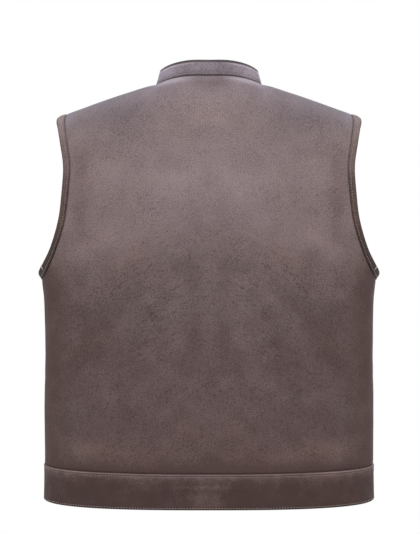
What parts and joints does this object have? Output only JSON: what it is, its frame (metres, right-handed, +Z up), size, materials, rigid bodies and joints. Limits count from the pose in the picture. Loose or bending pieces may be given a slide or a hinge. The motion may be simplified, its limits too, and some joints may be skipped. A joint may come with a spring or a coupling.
{
  "type": "leather vest",
  "caption": "Sleeveless leather vest with a low stand collar, bound armholes, a stitched hem band and a closed front zip, filled out as if worn.",
  "frame": {"origin": "middle of the neck hole, level with the tops of the shoulders beside the collar, where the wearer's shoulders and neck hold the garment", "axes": "+Z up along the garment's length, +Y the way the wearer faces, +X to the wearer's right hand; the back looks along -Y"},
  "size_m": [0.5156, 0.2747, 0.6489],
  "materials": {
    "leather_body": "worn pebble grain, clouded mauve brown, low sheen",
    "leather_band": "worn pebble grain, darker brown, low sheen",
    "leather_collar": "mottled grey mauve, dark at the top edge",
    "leather_binding": "rubbed brown, dark at the seam",
    "leather_inside": "matt flesh side",
    "thread": "waxed thread, dark brown",
    "zip_tape": "woven herringbone tape, dark brown",
    "zip_metal": "aged brass, rubbed bright on the edges"
  },
  "bodies": {
    "vest": {"back_panel": "leather_body", "front_panel_right": "leather_body", "front_panel_left": "leather_body", "hem_band_back": "leather_band", "hem_band_right": "leather_band", "hem_band_left": "leather_band", "collar": "leather_collar", "armhole_binding_right": "leather_binding", "armhole_binding_left": "leather_binding", "zip_tape_right": "zip_tape", "zip_tape_left": "zip_tape", "zip_chain": "zip_metal", "zip_slider": "zip_metal"},
    "pull": {"zip_pull": "zip_metal"}
  },
  "joints": [
    {"name": "pull_hinge", "type": "hinge", "parent": "vest", "child": "pull", "pos_m": [0, 0.05829, -0.08211], "axis": [1, 0, 0], "range_deg": [0, 150]}
  ]
}
